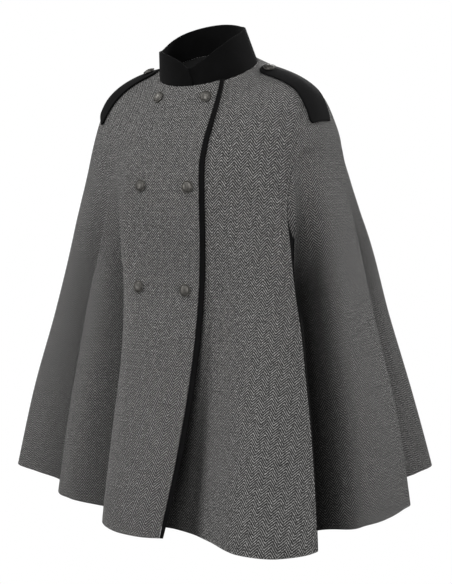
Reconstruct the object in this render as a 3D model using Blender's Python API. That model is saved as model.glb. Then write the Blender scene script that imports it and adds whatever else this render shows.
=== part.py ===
"""Hip-length double-breasted cape, worn form without a wearer.

Metres, +Z up, the front faces -Y and the wearer's left is +X.
The origin is the middle of the neck base, where the wearer's shoulders carry the cape.

The whole cloth is one surface, read at a cloth angle and a distance along.
The cloth angle is measured round the body from the front middle, positive to the
wearer's left. The distance along is 0 at the neckline and 1 at the hem.
RINGS gives the body form of that surface and FOLDS gives where each part of the
cloth hangs at the hem, so the folds grow from the shoulder down.
Each panel is a stretch of the surface between two seams, with a wall inside it.
"""
import math

import bpy
import numpy as np

# Cloth and seams
WALL = 0.0025
SEAM_GAP = 0.0003
OVERLAP_LIFT = 0.0034
FRONT_COLUMNS = 25
SIDE_LEFT_COLUMNS = 16
SIDE_RIGHT_COLUMNS = 19
BACK_COLUMNS = 18
DRIFT_START = 0.15
DRIFT_CURVE = 1.1
FULL_TURN = 360.0
ANGLE_STEP = 0.4
ALONG_STEP = 0.003
SPARE_ANGLE = 30.0
INSIDE_EDGE = 1.0
LIFT_AHEAD = 2.0
LIFT_SPREAD = 18.0
SLIDE_FROM = 255.0
SLIDE_TO = 345.0
SEAM_FOLD = 291.0
CREST_FOLD = 327.0

# Front edge of the panel that lies on top, as distance along and cloth angle
FRONT_EDGE = (
    (0.0, 43.0),
    (0.05, 37.0),
    (0.105, 31.0),
    (0.15, 27.0),
    (0.19, 25.5),
    (0.25, 26.5),
    (0.35, 29.0),
    (0.46, 31.0),
    (0.60, 32.0),
    (1.0, 32.0),
)

# Rows of every panel, as distances along, shared so that seams match
ROW_PLACES = (
    0.0, 0.025, 0.05, 0.08, 0.105, 0.13, 0.15, 0.153, 0.168, 0.186, 0.203,
    0.22, 0.25, 0.28, 0.315, 0.35, 0.385, 0.42, 0.46, 0.50, 0.55,
    0.60, 0.66, 0.72, 0.79, 0.86, 0.93, 1.0,
)
SIDE_FIRST_ROW = 7

# Seam lines as distance along and cloth angle, from the front middle to either side
LEFT_FRONT_SEAM = (
    (0.0, 90.0),
    (0.15, 90.0),
    (0.168, 86.0),
    (0.186, 79.5),
    (0.22, 74.5),
    (0.25, 71.6),
    (0.28, 69.6),
    (0.315, 68.0),
    (0.35, 67.0),
    (0.42, 67.5),
    (0.50, 68.2),
    (0.60, 69.0),
    (1.0, 69.0),
)
RIGHT_FRONT_SEAM = (
    (0.0, 90.0),
    (0.05, 88.0),
    (0.105, 81.0),
    (0.15, 74.0),
    (0.168, 65.0),
    (0.186, 56.0),
    (0.203, 49.5),
    (0.22, 47.0),
    (0.25, 46.0),
    (0.29, 47.0),
    (0.34, 50.0),
    (0.385, 54.0),
    (0.44, 58.5),
    (0.49, 62.0),
    (0.57, 64.5),
    (0.65, 66.0),
    (1.0, 69.0),
)
SEAMS_PART = 0.15
LEFT_SIDE_SEAM = (
    (SEAMS_PART, 90.0),
    (0.168, 94.0),
    (0.186, 99.0),
    (0.22, 107.0),
    (0.25, 112.0),
    (0.315, 118.0),
    (1.0, 118.0),
)
RIGHT_SIDE_SEAM = (
    (SEAMS_PART, 74.0),
    (0.168, 81.0),
    (0.186, 90.0),
    (0.22, 103.0),
    (0.25, 110.0),
    (0.315, 118.0),
    (1.0, 118.0),
)

# Crest of the fold in front of the right seam, as distance along and cloth angle
RIGHT_CREST = (
    (0.0, 33.0),
    (0.20, 37.0),
    (0.40, 37.0),
    (0.60, 34.0),
    (1.0, 33.0),
)

# Arm slit in each front seam
SLIT_TOP = 0.345
SLIT_BOTTOM = 0.56
SLIT_EASE = 0.07
LEFT_SLIT_WIDTH = 0.010
RIGHT_SLIT_WIDTH = 0.013
LEFT_SLIT_DEPTH = 0.012
SLIT_REACH = 14.0

# Body form of the cloth, one row per ring from the neckline to the hem
RING_COLUMNS = (
    "along", "half_width", "front", "back", "z_front", "z_side", "z_back",
    "square_front", "square_back", "crown",
)
RINGS = (
    (0.00, 0.0775, 0.075, 0.055, -0.030, 0.002, 0.028, 2.0, 2.0, 1.0),
    (0.05, 0.106, 0.088, 0.080, -0.060, -0.003, 0.012, 2.0, 2.0, 1.2),
    (0.11, 0.145, 0.104, 0.108, -0.096, -0.016, -0.018, 2.0, 2.1, 1.5),
    (0.17, 0.179, 0.118, 0.134, -0.135, -0.042, -0.062, 2.0, 2.3, 1.8),
    (0.22, 0.195, 0.127, 0.153, -0.170, -0.084, -0.110, 2.1, 2.5, 2.0),
    (0.30, 0.212, 0.131, 0.183, -0.222, -0.154, -0.178, 2.2, 2.7, 2.0),
    (0.42, 0.238, 0.131, 0.212, -0.298, -0.247, -0.262, 2.3, 2.7, 2.0),
    (0.60, 0.276, 0.149, 0.238, -0.413, -0.385, -0.394, 2.3, 2.5, 2.0),
    (0.80, 0.318, 0.187, 0.266, -0.540, -0.523, -0.524, 2.2, 2.3, 2.0),
    (1.00, 0.348, 0.232, 0.297, -0.666, -0.656, -0.650, 2.1, 2.1, 2.0),
)

# Where the cloth hangs at the hem, one row per crest, hollow or seam.
# Start is the distance along where a fold begins. A curve under 1 makes it deep early.
FOLD_COLUMNS = ("cloth_angle", "hem_angle", "hem_radius", "start", "curve")
FOLDS = (
    (-32.0, -8.0, 0.203, 0.40, 1.10),
    (-14.0, -1.0, 0.200, 0.40, 1.10),
    (4.0, 7.0, 0.198, 0.40, 1.10),
    (18.0, 15.0, 0.202, 0.40, 1.10),
    (30.0, 24.0, 0.220, 0.40, 1.10),
    (39.0, 31.0, 0.254, 0.35, 1.10),
    (47.0, 38.0, 0.311, 0.30, 1.10),
    (55.0, 47.0, 0.341, 0.30, 1.10),
    (62.0, 52.5, 0.344, 0.30, 1.10),
    (69.0, 57.0, 0.339, 0.30, 1.10),
    (72.0, 60.0, 0.292, 0.25, 0.50),
    (76.0, 66.0, 0.274, 0.25, 0.50),
    (82.0, 73.5, 0.296, 0.25, 0.60),
    (90.0, 84.0, 0.316, 0.24, 0.85),
    (98.0, 99.0, 0.322, 0.22, 1.10),
    (104.0, 103.5, 0.311, 0.22, 1.10),
    (110.0, 108.0, 0.289, 0.22, 0.80),
    (118.0, 118.0, 0.288, 0.24, 0.75),
    (127.0, 128.0, 0.341, 0.22, 1.00),
    (136.0, 135.5, 0.384, 0.20, 1.10),
    (144.0, 143.0, 0.372, 0.22, 1.10),
    (154.0, 153.0, 0.315, 0.28, 1.10),
    (167.0, 166.0, 0.350, 0.26, 1.10),
    (181.0, 181.0, 0.300, 0.30, 1.10),
    (195.0, 195.0, 0.348, 0.26, 1.10),
    (208.0, 208.0, 0.308, 0.28, 1.10),
    (222.0, 222.0, 0.366, 0.22, 1.10),
    (233.0, 233.0, 0.330, 0.24, 0.90),
    (242.0, 242.0, 0.292, 0.24, 0.80),
    (253.0, 254.0, 0.322, 0.26, 0.90),
    (263.0, 266.0, 0.330, 0.26, 1.10),
    (272.0, 277.0, 0.358, 0.22, 1.10),
    (277.0, 282.0, 0.350, 0.22, 1.10),
    (282.0, 287.5, 0.300, 0.22, 0.85),
    (286.0, 294.0, 0.252, 0.20, 0.70),
    (289.0, 301.0, 0.232, 0.20, 0.70),
    (291.0, 307.0, 0.244, 0.30, 1.10),
    (300.0, 316.0, 0.229, 0.26, 1.00),
    (309.0, 328.0, 0.195, 0.26, 0.85),
    (317.0, 340.0, 0.172, 0.26, 0.80),
    (322.0, 345.5, 0.190, 0.26, 0.90),
    (327.0, 348.0, 0.221, 0.30, 1.10),
    (340.0, 353.0, 0.240, 0.35, 1.10),
    (356.0, 360.0, 0.249, 0.40, 1.10),
    (374.0, 368.0, 0.251, 0.40, 1.10),
    (392.0, 374.5, 0.247, 0.40, 1.10),
)

# Stand collar, one row per place round the neck
COLLAR_COLUMNS = ("angle", "height", "inset", "lift")
COLLAR = (
    (-24.0, 0.022, 0.0017, 0.0),
    (-10.0, 0.024, 0.0017, 0.0),
    (10.0, 0.027, 0.0017, 0.0),
    (30.0, 0.036, 0.0017, 0.0),
    (50.0, 0.045, 0.0010, 0.0),
    (75.0, 0.051, 0.0, 0.0),
    (95.0, 0.050, 0.0, 0.0),
    (130.0, 0.042, 0.0, 0.0),
    (180.0, 0.0405, 0.0, 0.0),
    (240.0, 0.039, 0.0, 0.0),
    (280.0, 0.035, 0.0, 0.0),
    (305.0, 0.040, 0.0, 0.6),
    (325.0, 0.0445, 0.0, 1.0),
    (342.0, 0.043, 0.0, 1.0),
    (356.0, 0.038, 0.0, 1.0),
    (365.0, 0.030, 0.0, 1.0),
    (370.0, 0.020, 0.0, 1.0),
    (372.5, 0.004, 0.0, 1.0),
)
COLLAR_FULL_HEIGHT = 0.045
COLLAR_LEAN_IN = 0.0094
COLLAR_FORWARD = 0.018
COLLAR_STATIONS = 66
COLLAR_LEVELS = (1.0, 0.80, 0.58, 0.36, 0.16, 0.0)

# Strip on the front edge that shows, as distance along and width
STRIP_WIDTHS = (
    (0.0, 0.0065),
    (0.15, 0.0085),
    (0.75, 0.0085),
    (1.0, 0.0055),
)
STRIP_COLUMNS = 3
STRIP_LOOK_BACK = 1.0

# Shoulder strap, one row per place from the neck end to the arm end
STRAP_COLUMNS = ("along", "left_angle", "right_angle", "half_width")
STRAP = (
    (0.028, 90.0, 90.0, 0.0050),
    (0.031, 90.0, 90.0, 0.0120),
    (0.040, 89.5, 89.0, 0.0165),
    (0.060, 89.0, 87.0, 0.0190),
    (0.090, 89.0, 84.0, 0.0212),
    (0.140, 89.0, 79.0, 0.0245),
    (0.180, 88.5, 75.5, 0.0270),
    (0.208, 88.5, 74.0, 0.0270),
    (0.216, 88.5, 74.0, 0.0240),
)
STRAP_REACH = {"left": 1.0, "right": 0.86}
STRAP_CLEARANCE = 0.0008
STRAP_THICKNESS = 0.003
STRAP_ROWS = 19
STRAP_POINTS_ACROSS = 7
STRAP_BUTTON_ALONG = 0.053
STRAP_BUTTON_ANGLE = 87.0

# Buttons
BUTTON_RADIUS = 0.0093
BUTTON_CLEARANCE = 0.0006
BUTTON_SEGMENTS = 20
BUTTON_COLUMN_X = 0.041
BUTTON_SEARCH = (-60.0, 50.0)
BUTTON_ROWS_ALONG = (0.036, 0.232, 0.464)

# Button profile from the back edge to the dome, as share of the radius and height
BUTTON_PROFILE = (
    (0.62, 0.0),
    (0.92, 0.0005),
    (1.00, 0.0014),
    (0.93, 0.0023),
    (0.76, 0.0031),
    (0.45, 0.0041),
    (0.12, 0.0046),
)

# Materials: linear colour, roughness, metallic
WOOL_GREY = ((0.13, 0.13, 0.135, 1.0), 0.9, 0.0)
WOOL_BLACK = ((0.008, 0.008, 0.009, 1.0), 0.9, 0.0)
AGED_METAL = ((0.16, 0.155, 0.145, 1.0), 0.45, 0.9)


def smooth_curve(places, values, wanted):
    """Read a table column between its rows, without overshoot at crests."""
    places = np.asarray(places, float)
    values = np.asarray(values, float)
    wanted = np.asarray(wanted, float)
    steps = np.diff(places)
    slopes = np.diff(values) / steps
    tangents = np.zeros(len(places))
    tangents[0] = slopes[0]
    tangents[-1] = slopes[-1]
    for row in range(1, len(places) - 1):
        before = slopes[row - 1]
        after = slopes[row]
        if before * after > 0.0:
            weight_before = 2.0 * steps[row] + steps[row - 1]
            weight_after = steps[row] + 2.0 * steps[row - 1]
            total = weight_before + weight_after
            tangents[row] = total / (weight_before / before + weight_after / after)
    row = np.clip(np.searchsorted(places, wanted, side="right") - 1, 0, len(places) - 2)
    share = np.clip((wanted - places[row]) / steps[row], 0.0, 1.0)
    cubed = share ** 3
    squared = share ** 2
    return (
        (2.0 * cubed - 3.0 * squared + 1.0) * values[row]
        + (cubed - 2.0 * squared + share) * steps[row] * tangents[row]
        + (3.0 * squared - 2.0 * cubed) * values[row + 1]
        + (cubed - squared) * steps[row] * tangents[row + 1]
    )


def table_column(columns, rows, name, wanted):
    """Read one named column of a table at the wanted places of its first column."""
    places = [row[0] for row in rows]
    values = [row[columns.index(name)] for row in rows]
    return smooth_curve(places, values, wanted)


def ring_value(name, along):
    """One column of the ring table at a distance along the cloth."""
    return table_column(RING_COLUMNS, RINGS, name, along)


def fold_value(name, place):
    """One column of the fold table at a place in it."""
    return table_column(FOLD_COLUMNS, FOLDS, name, place)


def fold_place(cloth_angle, along):
    """Place in the fold table, which follows the right front seam and the crest by it."""
    seam = FULL_TURN - line_value(RIGHT_FRONT_SEAM, along)
    crest = FULL_TURN - line_value(RIGHT_CREST, along)
    lines = (np.full_like(along, SLIDE_FROM), seam, crest, np.full_like(along, SLIDE_TO))
    places = (SLIDE_FROM, SEAM_FOLD, CREST_FOLD, SLIDE_TO)
    place = np.array(cloth_angle, float)
    for first in range(len(lines) - 1):
        low, high = lines[first], lines[first + 1]
        share = (cloth_angle - low) / (high - low)
        within = (share >= 0.0) & (share < 1.0)
        slid = places[first] + (places[first + 1] - places[first]) * share
        place = np.where(within, slid, place)
    return place


def smooth_step(low, high, value):
    """Go from 0 at low to 1 at high with level ends."""
    share = np.clip((value - low) / (high - low), 0.0, 1.0)
    return share * share * (3.0 - 2.0 * share)


def line_value(table, along):
    """Read an edge or seam table at a distance along."""
    return smooth_curve([row[0] for row in table], [row[1] for row in table], along)


def ring_point(angle, along):
    """Place on the body form, and its distance from the upright axis."""
    turn = np.radians(angle)
    sine = np.sin(turn)
    cosine = np.cos(turn)
    in_front = cosine >= 0.0
    half_width = ring_value("half_width", along)
    depth = np.where(in_front, ring_value("front", along), ring_value("back", along))
    square = np.where(
        in_front, ring_value("square_front", along), ring_value("square_back", along)
    )
    crown = ring_value("crown", along)
    radius = (np.abs(sine / half_width) ** square + np.abs(cosine / depth) ** square) ** (-1.0 / square)
    x = radius * sine
    y = -radius * cosine
    z_side = ring_value("z_side", along)
    z_end = np.where(in_front, ring_value("z_front", along), ring_value("z_back", along))
    z = z_side + (z_end - z_side) * np.clip(np.abs(y) / depth, 0.0, 1.0) ** crown
    return x, y, z, radius


def folded_point(cloth_angle, along):
    """Place on the cloth with its folds, before lift and slit."""
    place = fold_place(cloth_angle, along)
    hem_angle = fold_value("hem_angle", place)
    hem_radius = fold_value("hem_radius", place)
    start = fold_value("start", place)
    curve = fold_value("curve", place)
    drift = np.clip((along - DRIFT_START) / (1.0 - DRIFT_START), 0.0, 1.0) ** DRIFT_CURVE
    angle = cloth_angle + (hem_angle - place) * drift
    x, y, z, _ = ring_point(angle, along)
    _, _, _, plain_hem = ring_point(hem_angle, np.ones_like(along))
    growth = np.clip((along - start) / (1.0 - start), 0.0, 1.0) ** curve
    moved = (hem_radius - plain_hem) * growth
    turn = np.radians(angle)
    return np.stack([x + moved * np.sin(turn), y - moved * np.cos(turn), z], axis=-1)


def surface_normal(cloth_angle, along):
    """Outward direction of the folded cloth."""
    angle_after = np.minimum(cloth_angle + ANGLE_STEP, FOLDS[-1][0] + SPARE_ANGLE)
    angle_before = np.maximum(cloth_angle - ANGLE_STEP, FOLDS[0][0] - SPARE_ANGLE)
    along_after = np.minimum(along + ALONG_STEP, 1.0)
    along_before = np.maximum(along - ALONG_STEP, 0.0)
    across = folded_point(angle_after, along) - folded_point(angle_before, along)
    down = folded_point(cloth_angle, along_after) - folded_point(cloth_angle, along_before)
    normal = np.cross(down, across)
    return normal / np.linalg.norm(normal, axis=-1, keepdims=True)


def slit_open(along):
    """How far the arm slit stands open, 0 closed and 1 open."""
    opening = smooth_step(SLIT_TOP, SLIT_TOP + SLIT_EASE, along)
    closing = 1.0 - smooth_step(SLIT_BOTTOM - SLIT_EASE, SLIT_BOTTOM, along)
    return opening * closing


def edge_angle(along):
    """Cloth angle of the front edge that shows, from the front middle."""
    return line_value(FRONT_EDGE, along)


def panel_edges(panel, along):
    """Cloth angles of the two edges of a panel, at each distance along."""
    left_front = line_value(LEFT_FRONT_SEAM, along)
    apart = along > SEAMS_PART
    left_side = np.where(apart, line_value(LEFT_SIDE_SEAM, along), left_front)
    back_middle = np.full_like(along, FULL_TURN / 2.0)
    right_front = FULL_TURN - line_value(RIGHT_FRONT_SEAM, along)
    right_side = np.where(apart, FULL_TURN - line_value(RIGHT_SIDE_SEAM, along), right_front)
    edges = {
        "front_left": (-edge_angle(along), left_front),
        "side_left": (left_front, left_side),
        "back_left": (left_side, back_middle),
        "back_right": (back_middle, right_side),
        "side_right": (right_side, right_front),
        "front_right": (right_front, FULL_TURN + edge_angle(along)),
    }
    return edges[panel]


def cloth_point(panel, cloth_angle, along):
    """Outer face of a panel, with the overlap lift and the arm slit."""
    point = folded_point(cloth_angle, along)
    normal = surface_normal(cloth_angle, along)
    if panel == "front_right":
        covered = FULL_TURN - edge_angle(along) - LIFT_AHEAD
        lift = OVERLAP_LIFT * smooth_step(covered - LIFT_SPREAD, covered, cloth_angle)
        point = point + normal * lift[..., None]
    if panel == "side_left":
        from_slit = cloth_angle - line_value(LEFT_FRONT_SEAM, along)
        near = np.clip(1.0 - from_slit / SLIT_REACH, 0.0, 1.0) ** 2
        point = point - normal * (LEFT_SLIT_DEPTH * near * slit_open(along))[..., None]
    return point


def make_object(name, vertices, faces, material):
    """Make one mesh object from plain lists."""
    mesh = bpy.data.meshes.new(name)
    mesh.from_pydata([tuple(map(float, place)) for place in vertices], [], faces)
    mesh.update()
    body = bpy.data.objects.new(name, mesh)
    bpy.context.scene.collection.objects.link(body)
    mesh.materials.append(material)
    for polygon in mesh.polygons:
        polygon.use_smooth = True
    return body


def make_material(name, look):
    """Make one plain material."""
    colour, roughness, metallic = look
    material = bpy.data.materials.new(name)
    material.use_nodes = True
    shader = material.node_tree.nodes["Principled BSDF"]
    shader.inputs["Base Color"].default_value = colour
    shader.inputs["Roughness"].default_value = roughness
    shader.inputs["Metallic"].default_value = metallic
    return material


def walled_sheet(name, outer, inner, material):
    """Close an outer and an inner grid of points into one thin body."""
    rows, columns = outer.shape[:2]
    count = rows * columns
    vertices = list(outer.reshape(-1, 3)) + list(inner.reshape(-1, 3))

    def at(row, column, layer=0):
        return layer * count + row * columns + column

    faces = []
    for row in range(rows - 1):
        for column in range(columns - 1):
            faces.append((
                at(row, column), at(row + 1, column),
                at(row + 1, column + 1), at(row, column + 1),
            ))
            faces.append((
                at(row, column, 1), at(row, column + 1, 1),
                at(row + 1, column + 1, 1), at(row + 1, column, 1),
            ))
        faces.append((at(row, 0), at(row, 0, 1), at(row + 1, 0, 1), at(row + 1, 0)))
        last = columns - 1
        faces.append((at(row, last), at(row + 1, last), at(row + 1, last, 1), at(row, last, 1)))
    for column in range(columns - 1):
        faces.append((at(0, column), at(0, column + 1), at(0, column + 1, 1), at(0, column, 1)))
        last = rows - 1
        faces.append((
            at(last, column), at(last, column, 1),
            at(last, column + 1, 1), at(last, column + 1),
        ))
    return make_object(name, vertices, faces, material)


def row_places(panel):
    """Distances along for the rows of a panel."""
    places = np.array(ROW_PLACES)
    if panel.startswith("side"):
        places = places[SIDE_FIRST_ROW:]
    return places


def angle_for_width(cloth_angle, along, width):
    """Cloth angle that spans a width on the cloth at a place."""
    after = folded_point(cloth_angle + ANGLE_STEP, along)
    before = folded_point(cloth_angle - ANGLE_STEP, along)
    return width * 2.0 * ANGLE_STEP / np.linalg.norm(after - before, axis=-1)


def seam_set_back(panel, edge, places):
    """Width along a row that keeps an edge half the seam gap off the seam line."""
    before = np.maximum(places - ALONG_STEP, 0.0)
    after = np.minimum(places + ALONG_STEP, 1.0)
    down = folded_point(panel_edges(panel, after)[edge], after)
    down = down - folded_point(panel_edges(panel, before)[edge], before)
    angle = panel_edges(panel, places)[edge]
    across = folded_point(angle + ANGLE_STEP, places) - folded_point(angle - ANGLE_STEP, places)
    lengths = np.linalg.norm(down, axis=-1) * np.linalg.norm(across, axis=-1)
    sine = np.linalg.norm(np.cross(down, across), axis=-1) / lengths
    return SEAM_GAP / 2.0 / sine


def panel_grid(panel, columns):
    """Cloth angles and distances along for every point of a panel."""
    places = row_places(panel)
    first, last = panel_edges(panel, places)
    first_width = seam_set_back(panel, 0, places)
    last_width = seam_set_back(panel, 1, places)
    if panel == "side_left":
        first_width = first_width + LEFT_SLIT_WIDTH * slit_open(places)
    if panel == "side_right":
        last_width = last_width + RIGHT_SLIT_WIDTH * slit_open(places)
    first = first + angle_for_width(first + INSIDE_EDGE, places, first_width)
    last = last - angle_for_width(last - INSIDE_EDGE, places, last_width)
    shares = np.linspace(0.0, 1.0, columns)
    angles = first[:, None] + (last - first)[:, None] * shares[None, :]
    along = np.repeat(places[:, None], columns, axis=1)
    return angles, along


def make_panel(panel, columns, material):
    """Make one cloth panel with its wall inside the outer face."""
    angles, along = panel_grid(panel, columns)
    outer = cloth_point(panel, angles, along)
    wall_angles = angles.copy()
    first, last = panel_edges(panel, along[:, 0])
    own = slit_open(along[:, 0])
    wall_angles[:, 0] = first + (angles[:, 0] - first) * own
    wall_angles[:, -1] = last + (angles[:, -1] - last) * own
    inner = outer - surface_normal(wall_angles, along) * WALL
    return walled_sheet(panel, outer, inner, material)


def make_edge_strip(material):
    """Make the dark strip sewn to the front edge that shows."""
    places = row_places("front_right")
    edge_line = FULL_TURN + edge_angle(places)
    at_edge = np.repeat(edge_line[:, None], STRIP_COLUMNS, axis=1)
    along = np.repeat(places[:, None], STRIP_COLUMNS, axis=1)
    edge = cloth_point("front_right", at_edge, along)
    across = edge - cloth_point("front_right", at_edge - STRIP_LOOK_BACK, along)
    across = across / np.linalg.norm(across, axis=-1, keepdims=True)
    shares = np.linspace(0.0, 1.0, STRIP_COLUMNS)
    width = SEAM_GAP + line_value(STRIP_WIDTHS, places)[:, None] * shares[None, :]
    outer = edge + across * width[..., None]
    inner = outer - surface_normal(at_edge, along) * WALL
    return walled_sheet("edge_strip", outer, inner, material)


def make_collar(material):
    """Make the stand collar, its two ends lapped at the front."""
    angles = np.linspace(COLLAR[0][0], COLLAR[-1][0], COLLAR_STATIONS)
    height = table_column(COLLAR_COLUMNS, COLLAR, "height", angles)[:, None]
    inset = table_column(COLLAR_COLUMNS, COLLAR, "inset", angles)[:, None]
    lift = OVERLAP_LIFT * table_column(COLLAR_COLUMNS, COLLAR, "lift", angles)[:, None]
    neckline, cloth_normal = ring_surface(angles, np.zeros_like(angles))
    below, _ = ring_surface(angles, np.full_like(angles, ALONG_STEP))
    down = below - neckline
    down = down / np.linalg.norm(down, axis=-1, keepdims=True)
    outward = neckline * np.array([1.0, 1.0, 0.0])
    outward = outward / np.linalg.norm(outward, axis=-1, keepdims=True)
    base = neckline - down * SEAM_GAP + cloth_normal * lift - outward * inset
    forward = np.array([0.0, -1.0, 0.0])
    upward = np.array([0.0, 0.0, 1.0])
    tilt = np.minimum(height / COLLAR_FULL_HEIGHT, 1.0)
    lean = (forward * COLLAR_FORWARD - outward * COLLAR_LEAN_IN) * tilt
    outer = np.stack([base + (upward * height + lean) * level for level in COLLAR_LEVELS])
    wall = np.repeat(outward[None], len(COLLAR_LEVELS), axis=0)
    foot = outward + cloth_normal
    wall[-1] = foot / np.linalg.norm(foot, axis=-1, keepdims=True)
    inner = outer - wall * WALL
    return walled_sheet("collar", outer, inner, material)


def ring_surface(angle, along):
    """Points and outward directions on the body form above the folds."""
    point = np.stack(ring_point(angle, along)[:3], axis=-1)
    ahead = np.stack(ring_point(angle, along + ALONG_STEP)[:3], axis=-1)
    after = np.stack(ring_point(angle + ANGLE_STEP, along)[:3], axis=-1)
    before = np.stack(ring_point(angle - ANGLE_STEP, along)[:3], axis=-1)
    normal = np.cross(ahead - point, after - before)
    return point, normal / np.linalg.norm(normal, axis=-1, keepdims=True)


def strap_grid(side):
    """Angles and distances along for the points of a shoulder strap."""
    shares = smooth_step(0.0, 1.0, np.linspace(0.0, 1.0, STRAP_ROWS))
    places = STRAP[0][0] + (STRAP[-1][0] - STRAP[0][0]) * shares
    middle = table_column(STRAP_COLUMNS, STRAP, side + "_angle", places)
    half = table_column(STRAP_COLUMNS, STRAP, "half_width", places)
    spread = np.degrees(np.arctan2(half, ring_value("half_width", places)))
    across = np.linspace(-1.0, 1.0, STRAP_POINTS_ACROSS)
    angles = middle[:, None] + spread[:, None] * across[None, :]
    places = STRAP[0][0] + (places - STRAP[0][0]) * STRAP_REACH[side]
    along = np.repeat(places[:, None], STRAP_POINTS_ACROSS, axis=1)
    if side == "right":
        angles = -angles[:, ::-1]
    return angles, along


def make_strap(side, material):
    """Make one shoulder strap from cloth points moved out."""
    angles, along = strap_grid(side)
    point, normal = ring_surface(angles, along)
    inner = point + normal * STRAP_CLEARANCE
    outer = point + normal * (STRAP_CLEARANCE + STRAP_THICKNESS)
    return walled_sheet("strap_" + side, outer, inner, material)


def make_button(name, place, normal, material):
    """Make one domed button, lying flat with its face along the normal."""
    side = np.cross(np.array([0.0, 0.0, 1.0]), normal)
    side = side / np.linalg.norm(side)
    up = np.cross(normal, side)
    vertices = []
    for share, height in BUTTON_PROFILE:
        for segment in range(BUTTON_SEGMENTS):
            turn = 2.0 * math.pi * segment / BUTTON_SEGMENTS
            spoke = side * math.cos(turn) + up * math.sin(turn)
            vertices.append(place + spoke * BUTTON_RADIUS * share + normal * height)
    faces = []
    for ring in range(len(BUTTON_PROFILE) - 1):
        for segment in range(BUTTON_SEGMENTS):
            after = (segment + 1) % BUTTON_SEGMENTS
            low = ring * BUTTON_SEGMENTS
            high = low + BUTTON_SEGMENTS
            faces.append((low + segment, low + after, high + after, high + segment))
    last = (len(BUTTON_PROFILE) - 1) * BUTTON_SEGMENTS
    faces.append(tuple(range(BUTTON_SEGMENTS - 1, -1, -1)))
    faces.append(tuple(last + segment for segment in range(BUTTON_SEGMENTS)))
    return make_object(name, vertices, faces, material)


def angle_at_x(wanted_x, along):
    """Cloth angle on the body form where the cloth is wanted_x from the middle."""
    low, high = BUTTON_SEARCH
    angles = FULL_TURN + np.linspace(low, high, int((high - low) / ANGLE_STEP) + 1)
    x = folded_point(angles, np.full_like(angles, along))[:, 0]
    return float(np.interp(wanted_x, x, angles))


def make_front_buttons():
    """Make the two columns of front buttons."""
    for row, along in enumerate(BUTTON_ROWS_ALONG, start=1):
        for side, x in (("right", -BUTTON_COLUMN_X), ("left", BUTTON_COLUMN_X)):
            name = "button_%s_%d" % (side, row)
            angle = np.array([angle_at_x(x, along)])
            place_along = np.array([along])
            point = cloth_point("front_right", angle, place_along)[0]
            normal = surface_normal(angle, place_along)[0]
            place = point + normal * BUTTON_CLEARANCE
            make_button(name, place, normal, make_material("metal_" + name, AGED_METAL))


def make_strap_button(side, material):
    """Make the button near the neck end of a shoulder strap."""
    middle = STRAP_BUTTON_ANGLE if side == "left" else -STRAP_BUTTON_ANGLE
    point, normal = ring_surface(np.array([middle]), np.array([STRAP_BUTTON_ALONG]))
    above = STRAP_CLEARANCE + STRAP_THICKNESS + BUTTON_CLEARANCE
    make_button("button_strap_" + side, point[0] + normal[0] * above, normal[0], material)


def main():
    """Build every piece of the cape."""
    for old in list(bpy.data.objects):
        bpy.data.objects.remove(old, do_unlink=True)
    panels = (
        ("front_right", FRONT_COLUMNS),
        ("front_left", FRONT_COLUMNS),
        ("side_right", SIDE_RIGHT_COLUMNS),
        ("side_left", SIDE_LEFT_COLUMNS),
        ("back_right", BACK_COLUMNS),
        ("back_left", BACK_COLUMNS),
    )
    for name, columns in panels:
        make_panel(name, columns, make_material("herringbone_" + name, WOOL_GREY))
    make_collar(make_material("black_wool_collar", WOOL_BLACK))
    make_edge_strip(make_material("black_wool_edge", WOOL_BLACK))
    for side in ("right", "left"):
        make_strap(side, make_material("black_wool_strap_" + side, WOOL_BLACK))
        make_strap_button(side, make_material("metal_strap_" + side, AGED_METAL))
    make_front_buttons()


main()
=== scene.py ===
"""Looks of the hip-length herringbone cape: cloth shells, weave, sewing, buttons, light and camera.

Metres, +Z up, the front faces -Y and the wearer's left is +X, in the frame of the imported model.
The cloth is one surface, read at a cloth angle (round the body from the front middle, positive
to the wearer's left) and a distance along (0 at the neckline, 1 at the hem). RINGS gives its
body form and FOLDS where each part of it hangs at the hem, as in the part's own source. Here
the shells are finer, with rounded edges, creases, sewn lines and a woven surface.
"""
import math

import bpy
import numpy as np
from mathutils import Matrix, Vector


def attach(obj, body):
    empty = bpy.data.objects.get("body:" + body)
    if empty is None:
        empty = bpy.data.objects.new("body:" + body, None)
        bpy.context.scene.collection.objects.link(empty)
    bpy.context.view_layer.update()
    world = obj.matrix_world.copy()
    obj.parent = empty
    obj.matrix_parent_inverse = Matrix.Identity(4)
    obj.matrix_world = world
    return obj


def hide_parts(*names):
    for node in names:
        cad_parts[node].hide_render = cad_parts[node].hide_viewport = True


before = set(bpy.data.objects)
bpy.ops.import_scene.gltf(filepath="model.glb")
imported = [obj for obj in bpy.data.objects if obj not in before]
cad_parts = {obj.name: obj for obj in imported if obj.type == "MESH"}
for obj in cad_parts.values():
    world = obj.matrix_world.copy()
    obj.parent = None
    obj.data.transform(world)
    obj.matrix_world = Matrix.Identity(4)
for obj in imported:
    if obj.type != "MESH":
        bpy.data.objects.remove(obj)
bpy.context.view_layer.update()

# Cloth and seams
WALL = 0.0025
SEAM_GAP = 0.0003
OVERLAP_LIFT = 0.0034
DRIFT_START = 0.15
DRIFT_CURVE = 1.1
FULL_TURN = 360.0
ANGLE_STEP = 0.4
ALONG_STEP = 0.003
SPARE_ANGLE = 30.0
INSIDE_EDGE = 1.0
LIFT_AHEAD = 2.0
LIFT_SPREAD = 18.0
SLIDE_FROM = 255.0
SLIDE_TO = 345.0
SEAM_FOLD = 291.0
CREST_FOLD = 327.0
CLOTH_LENGTH = 0.70

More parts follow.
